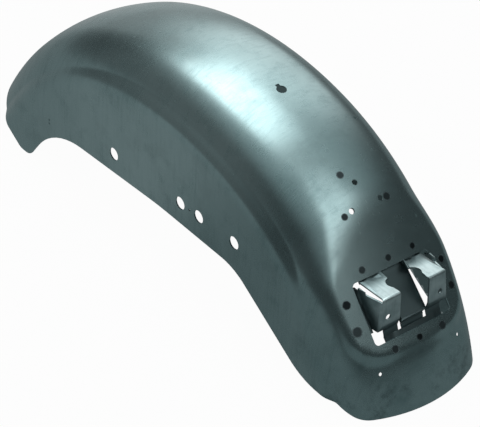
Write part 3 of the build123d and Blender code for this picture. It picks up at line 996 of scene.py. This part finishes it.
@dataclass
class SpotWelds:
    """Spot weld marks of the bracket and the doubler, laid on the sheet by Geometry Nodes."""

    # Place down the pad's slope, place across and radius, in millimetres
    pad_marks: tuple = (
        (-16.5, -36.0, 4.2), (-16.5, 0.0, 4.2), (-16.5, 36.0, 4.2),
        (11.0, -68.0, 5.6), (42.0, -68.0, 5.6), (11.0, 68.0, 5.0), (42.0, 68.0, 5.0),
        (76.0, -34.0, 4.6), (76.0, 0.0, 4.6), (76.0, 34.0, 4.6),
    )
    # Angle round the axle, place across and radius
    crown_marks: tuple = ((49.7, -31.0, 4.2), (49.9, 29.2, 4.8), (56.8, -11.0, 4.4))
    # A mark is found by a ray from the first distance to the second on the pad or the third
    probe: tuple = (420.0, 300.0, 200.0)
    lift: float = 0.09
    spread: float = 0.10
    seed: int = 7
    sides: int = 32
    rings: tuple = (0.0, 0.35, 0.6, 0.8, 0.92, 1.0)
    finish: WeldMark = field(default_factory=WeldMark)

    def places(self, sheet: Object, form: PressForm) -> list[tuple[Vector, Vector, float]]:
        """Place, outward direction and radius of each mark on the sheet.

        Args:
            sheet: The shell's sheet.
            form: The form that it was pressed on.

        Returns:
            One triple for each mark, in metres.
        """
        mesh = sheet.data
        corners = [vertex.co.copy() for vertex in mesh.vertices]
        tree = BVHTree.FromPolygons(corners, [tuple(p.vertices) for p in mesh.polygons])
        high, pad_low, crown_low = self.probe
        rays = []
        for slope, y, radius in self.pad_marks:
            rays.append((form.from_pad(slope, high), form.from_pad(slope, pad_low), y, radius))
        for angle, y, radius in self.crown_marks:
            c, s = math.cos(math.radians(angle)), math.sin(math.radians(angle))
            rays.append(((high * c, high * s), (crown_low * c, crown_low * s), y, radius))
        found = []
        for top, foot, y, radius in rays:
            start, end = to_row(top[0], y, top[1]), to_row(foot[0], y, foot[1])
            hit, normal, _, _ = tree.ray_cast(start, (end - start).normalized())
            if normal.dot(end - start) > 0:
                normal = -normal
            found.append((hit + normal * self.lift * MM, normal, radius * MM))
        return found

    def disc(self) -> Object:
        """One mark of radius 1, with its distance from the middle kept as an attribute."""
        points, rim, faces = [(0.0, 0.0, 0.0)], [0.0], []
        for ring in self.rings[1:]:
            for side in range(self.sides):
                turn = 2 * math.pi * side / self.sides
                points.append((ring * math.cos(turn), ring * math.sin(turn), 0.0))
                rim.append(ring)
        for side in range(self.sides):
            after = (side + 1) % self.sides
            faces.append((0, 1 + side, 1 + after))
            for ring in range(len(self.rings) - 2):
                low, high = 1 + ring * self.sides, 1 + (ring + 1) * self.sides
                faces.append((low + side, high + side, high + after, low + after))
        mesh = bpy.data.meshes.new("mark")
        mesh.from_pydata(points, [], faces)
        mesh.attributes.new("rim", "FLOAT", "POINT").data.foreach_set("value", rim)
        return placed("mark", mesh)

    def tree(self) -> NodeTree:
        """Node tree that puts a turned, scaled mark on every point."""
        tree = bpy.data.node_groups.new("spot_welds", "GeometryNodeTree")
        sockets = (
            ("Points", "INPUT", "NodeSocketGeometry"), ("Mark", "INPUT", "NodeSocketObject"),
            ("Material", "INPUT", "NodeSocketMaterial"), ("Seed", "INPUT", "NodeSocketInt"),
            ("Spread", "INPUT", "NodeSocketFloat"), ("Marks", "OUTPUT", "NodeSocketGeometry"),
        )
        for name, side, kind in sockets:
            tree.interface.new_socket(name=name, in_out=side, socket_type=kind)
        net = Net(tree)
        given = net.node("NodeGroupInput").outputs
        named = "GeometryNodeInputNamedAttribute"
        aim = net.node(named, {"data_type": "FLOAT_VECTOR"}, {"Name": "aim"}).outputs["Attribute"]
        radius = net.node(named, {"data_type": "FLOAT"}, {"Name": "radius"})
        turn = net.node("FunctionNodeAlignRotationToVector", {"axis": "Z"}, {"Vector": aim})
        spread = Signal(net, given["Spread"])
        vary = net.node("FunctionNodeRandomValue", {"data_type": "FLOAT"}, {"Seed": given["Seed"]})
        net.put(vary.inputs[2], 1.0 - spread)
        net.put(vary.inputs[3], 1.0 + spread)
        size = Signal(net, radius.outputs["Attribute"]) * Signal(net, vary.outputs[1])
        mark = net.node("GeometryNodeObjectInfo", None, {"Object": given["Mark"], "As Instance": True})
        laid = net.node("GeometryNodeInstanceOnPoints", None, {
            "Points": given["Points"], "Instance": mark.outputs["Geometry"],
            "Rotation": turn.outputs[0], "Scale": size,
        })
        tone = net.node("FunctionNodeRandomValue", {"data_type": "FLOAT"}, {"Seed": given["Seed"]})
        toned = net.node(
            "GeometryNodeStoreNamedAttribute", {"data_type": "FLOAT", "domain": "INSTANCE"},
            {"Geometry": laid.outputs[0], "Name": "tone", "Value": Signal(net, tone.outputs[1])},
        )
        real = net.node("GeometryNodeRealizeInstances", None, {"Geometry": toned.outputs[0]})
        values = {"Geometry": real.outputs[0], "Material": given["Material"]}
        painted = net.node("GeometryNodeSetMaterial", None, values)
        net.node("NodeGroupOutput", None, {0: painted.outputs[0]})
        return tree

    def build(self, sheet: Object, form: PressForm) -> Object:
        """Lays the marks and turns them into a plain mesh.

        Args:
            sheet: The shell's sheet.
            form: The form that it was pressed on.

        Returns:
            The marks.
        """
        places = self.places(sheet, form)
        points = bpy.data.meshes.new("weld_points")
        points.from_pydata([place for place, _, _ in places], [], [])
        aims = [number for _, normal, _ in places for number in normal]
        points.attributes.new("aim", "FLOAT_VECTOR", "POINT").data.foreach_set("vector", aims)
        sizes = [radius for _, _, radius in places]
        points.attributes.new("radius", "FLOAT", "POINT").data.foreach_set("value", sizes)
        marks = placed("weld_marks", points)
        mark, tree = self.disc(), self.tree()
        layer = marks.modifiers.new("spot_welds", "NODES")
        layer.node_group = tree
        inputs = {
            "Mark": mark, "Material": self.finish.material(), "Seed": self.seed,
            "Spread": self.spread,
        }
        for item in tree.interface.items_tree:
            if item.in_out == "INPUT" and item.name in inputs:
                layer[item.identifier] = inputs[item.name]
        make_plain(marks)
        marks.data.name = "weld_marks"
        bpy.data.objects.remove(mark)
        return marks

    @staticmethod
    def dress(marks: Object) -> None:
        """Lets the marks ride on the shell's body."""
        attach(marks, "root")


@dataclass
class LampBracket:
    """The lamp bracket: the solid's mesh, with its tongue drawn out under the opening's top edge."""

    node: str = "tail_lamp_bracket"
    # Foot of the tongue and its direction, in side coordinates
    tongue_foot: tuple = (301.8, 161.5)
    tongue_way: tuple = (-0.609, 0.793)
    tongue_length: float = 47.3
    tongue_half: float = 16.5
    # A point belongs to the tongue this near to its plane and this far past its foot
    near_plane: float = 4.0
    past_foot: float = 1.0
    reach: float = 16.0
    dip: float = 7.0
    right_shift: float = 6.5
    left_shift: float = 3.0
    # The solid's points are joined within this distance, in metres
    join: float = 2e-6
    smooth_angle: float = math.radians(32.0)
    face_weight: int = 100
    finish: BracketSteel = field(default_factory=BracketSteel)

    def draw_tongue(self, mesh: Mesh) -> None:
        """Moves the points of the tongue, more toward its tip."""
        c, t = math.cos(REST_TILT), math.sin(REST_TILT)
        along = Vector(self.tongue_way).normalized()
        inward = Vector((-along.y, along.x))
        for vertex in mesh.vertices:
            away = (vertex.co - AXLE) / MM
            x, z = away.x * c + away.z * t, away.z * c - away.x * t
            from_foot = Vector((x, z)) - Vector(self.tongue_foot)
            run, side = from_foot.dot(along), abs(from_foot.dot(inward))
            if abs(away.y) > self.tongue_half or side > self.near_plane or run < self.past_foot:
                continue
            share = min(run / self.tongue_length, 1.0)
            moved = along * (self.reach * share) + inward * (self.dip * share**2)
            across = self.right_shift if away.y > 0 else self.left_shift * (1 - 2 * share)
            x, z = x + moved.x, z + moved.y
            vertex.co = to_row(x, away.y + across, z)

    def build(self) -> Object:
        """Copies the solid's mesh, joins its points and draws the tongue out."""
        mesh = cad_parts[self.node].data.copy()
        mesh.name = "lamp_bracket"
        work = bmesh.new()
        work.from_mesh(mesh)
        bmesh.ops.remove_doubles(work, verts=work.verts, dist=self.join)
        work.to_mesh(mesh)
        work.free()
        self.draw_tongue(mesh)
        mesh.shade_smooth()
        mesh.set_sharp_from_angle(angle=self.smooth_angle)
        piece = placed("lamp_bracket", mesh)
        even = piece.modifiers.new("even", "WEIGHTED_NORMAL")
        even.keep_sharp = True
        even.weight = self.face_weight
        make_plain(piece)
        return piece

    def dress(self, piece: Object) -> None:
        """Finishes the bracket and lets it stand for the node."""
        finished(piece, self.finish.material())
        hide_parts(self.node)


@dataclass
class InnerPlate:
    """A plate welded inside the shell: the solid's own mesh with its finish."""

    node: str
    # The finish darkens this plate with painted shade, since it lies lower than where the bracket's
    # painted shade ends
    finish: BracketSteel = field(default_factory=BracketSteel)

    def dress(self) -> None:
        """Puts the finish in the node's material slot."""
        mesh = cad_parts[self.node].data
        mesh.materials.clear()
        mesh.materials.append(self.finish.material())


# Studio


@dataclass
class Studio:
    """Floor, world, tent, soft box and camera."""

    floor_half: float = 6.0
    fill_tone: tuple = (0.8, 0.83, 0.85, 1.0)
    fill_strength: float = 0.5
    tent_radius: float = 4.0
    tent_segments: tuple = (48, 32)
    tent_lift: float = 0.0005
    box_place: tuple = (-0.9, 0.1, 2.4)
    box_target: tuple = (0.0, 0.0, 0.1)
    box_size: tuple = (1.8, 1.8)
    box_power: float = 8.0
    camera_sensor: float = 36.0
    camera_clip: float = 50.0
    camera_place: tuple = (1.6003, -1.3177, 1.6271)
    camera_right: tuple = (0.6190, 0.7845, 0.0357)
    camera_up: tuple = (-0.4985, 0.3574, 0.7898)
    camera_lens: float = 166.0
    camera_shift: tuple = (0.0062, 0.0122)

    def floor(self) -> None:
        """Lays the floor."""
        mesh = bpy.data.meshes.new("studio_floor")
        h = self.floor_half
        mesh.from_pydata([(-h, -h, 0), (h, -h, 0), (h, h, 0), (-h, h, 0)], [], [(0, 1, 2, 3)])
        mesh.materials.append(StudioFloor().material())
        placed("studio_floor", mesh)

    def soft_box(self) -> None:
        """Hangs the soft box."""
        light = bpy.data.lights.new("top_soft_box", "AREA")
        light.shape = "RECTANGLE"
        light.size, light.size_y = self.box_size
        light.energy = self.box_power
        lamp = placed("top_soft_box", light)
        lamp.location = self.box_place
        way = Vector(self.box_target) - Vector(self.box_place)
        lamp.rotation_euler = way.to_track_quat("-Z", "Y").to_euler()

    def tent(self) -> None:
        """Pitches the cloth dome with its ground sheet, which only the metal sees."""
        work = bmesh.new()
        u, v = self.tent_segments
        bmesh.ops.create_uvsphere(work, u_segments=u, v_segments=v, radius=self.tent_radius)
        bmesh.ops.bisect_plane(
            work, geom=work.verts[:] + work.edges[:] + work.faces[:],
            plane_co=(0.0, 0.0, 0.0), plane_no=(0.0, 0.0, -1.0), clear_outer=True,
        )
        rim = [edge for edge in work.edges if edge.is_boundary]
        bmesh.ops.contextual_create(work, geom=rim)
        bmesh.ops.translate(work, verts=work.verts[:], vec=(0.0, 0.0, self.tent_lift))
        mesh = bpy.data.meshes.new("tent")
        work.to_mesh(mesh)
        work.free()
        tent = placed("tent", mesh)
        tent.visible_camera = False
        tent.visible_diffuse = False
        tent.visible_shadow = False
        mesh.materials.append(TentCloth().material())

    def world(self) -> None:
        """White background with a soft, even fill."""
        world = bpy.data.worlds.new("studio")
        world.use_nodes = True
        bpy.context.scene.world = world
        net = Net(world.node_tree)
        layers = [
            net.node("ShaderNodeBackground", None, {"Color": tone, "Strength": strength}).outputs[0]
            for tone, strength in ((self.fill_tone, self.fill_strength), (WHITE, 1.0))
        ]
        values = {0: seen_rays(net), 1: layers[0], 2: layers[1]}
        mixed = net.node("ShaderNodeMixShader", None, values)
        net.node("ShaderNodeOutputWorld", None, {0: mixed.outputs[0]})

    def camera(self) -> None:
        """Sets the camera where the photograph was taken from."""
        data = bpy.data.cameras.new("camera")
        data.sensor_width = self.camera_sensor
        data.lens = self.camera_lens
        data.shift_x, data.shift_y = self.camera_shift
        data.clip_end = self.camera_clip
        camera = placed("camera", data)
        right = Vector(self.camera_right).normalized()
        back = right.cross(Vector(self.camera_up).normalized()).normalized()
        turn = Matrix((right, back.cross(right), back)).transposed().to_4x4()
        camera.matrix_world = Matrix.Translation(Vector(self.camera_place)) @ turn
        bpy.context.scene.camera = camera

    def build(self) -> None:
        """Sets the whole studio up."""
        self.floor()
        self.world()
        self.tent()
        self.soft_box()
        self.camera()
        bpy.context.scene.view_settings.view_transform = "Standard"


def main() -> None:
    """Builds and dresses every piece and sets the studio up."""
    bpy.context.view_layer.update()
    shell = Shell()
    sheet = shell.build()
    shell.dress(sheet)
    log.info("shell sheet: %d faces", len(sheet.data.polygons))
    welds = SpotWelds()
    marks = welds.build(sheet, shell.form)
    welds.dress(marks)
    log.info("weld marks: %d faces", len(marks.data.polygons))
    bracket = LampBracket()
    bracket.dress(bracket.build())
    log.info("lamp bracket dressed")
    InnerPlate("screw_hole_doubler").dress()
    log.info("screw hole doubler dressed")
    Studio().build()
    log.info("studio set up")


if __name__ == "__main__":
    logging.basicConfig(level=logging.INFO, format="%(name)s: %(message)s")
    main()
